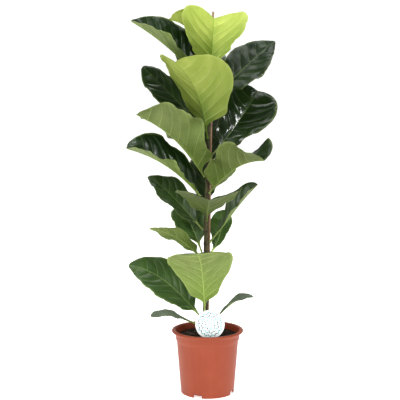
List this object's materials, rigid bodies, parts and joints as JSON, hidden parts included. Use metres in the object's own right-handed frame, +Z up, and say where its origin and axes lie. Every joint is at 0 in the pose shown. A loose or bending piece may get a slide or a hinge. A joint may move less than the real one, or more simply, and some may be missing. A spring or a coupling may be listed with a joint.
{
  "type": "potted fiddle leaf fig",
  "caption": "Young fiddle leaf fig with a single upright stem, a bamboo cane and large leathery leaves, standing in a tapered plastic nursery pot with a round care label in its soil.",
  "frame": {"origin": "centre of the pot's base, in the plane it stands on", "axes": "+Z up along the pot's axis; -Y is the plant's front, where the care label faces; +X is to the right of a person who looks at that front"},
  "size_m": [0.3532, 0.3386, 0.9161],
  "materials": {
    "pot_plastic": "terracotta-coloured moulded plastic, satin outside",
    "potting_mix": "dark, damp, fibrous potting mix of peat and bark",
    "bark": "grey-brown bark with green patches and leaf scars",
    "bud_sheath": "dry brown sheath over a green bud",
    "bamboo": "dry bamboo culm, satin",
    "label_plastic": "white plastic with a small printed leaf pattern, no text",
    "leaf": "leathery blade, dark glossy green above, paler matte green below, raised pale veins",
    "young_leaf": "younger leathery blade, bright yellow-green, matte below, raised pale veins"
  },
  "bodies": {
    "root": {"pot": "pot_plastic", "soil": "potting_mix", "stem": "bark", "terminal_bud": "bud_sheath", "bamboo_cane": "bamboo", "care_label": "label_plastic", "leaf_crown_front": "young_leaf", "leaf_crown_left": "young_leaf", "leaf_crown_back": "leaf", "leaf_upper_left": "leaf", "leaf_upper_right": "leaf", "leaf_upper_front": "young_leaf", "leaf_upper_back": "leaf", "leaf_middle_left_high": "leaf", "leaf_middle_right_glossy": "leaf", "leaf_middle_left_light": "leaf", "leaf_middle_left_low": "leaf", "leaf_middle_right_light": "leaf", "leaf_middle_back": "leaf", "leaf_lower_back": "leaf", "leaf_lower_left": "leaf", "leaf_lower_front": "leaf", "leaf_lower_right": "leaf", "leaf_low_back_right": "leaf", "leaf_low_back_left": "leaf", "leaf_low_left_light": "leaf", "leaf_foot_front": "leaf", "leaf_foot_left": "leaf", "leaf_foot_back": "leaf", "leaf_lowest_left": "leaf", "leaf_lowest_right": "leaf"}
  },
  "joints": []
}
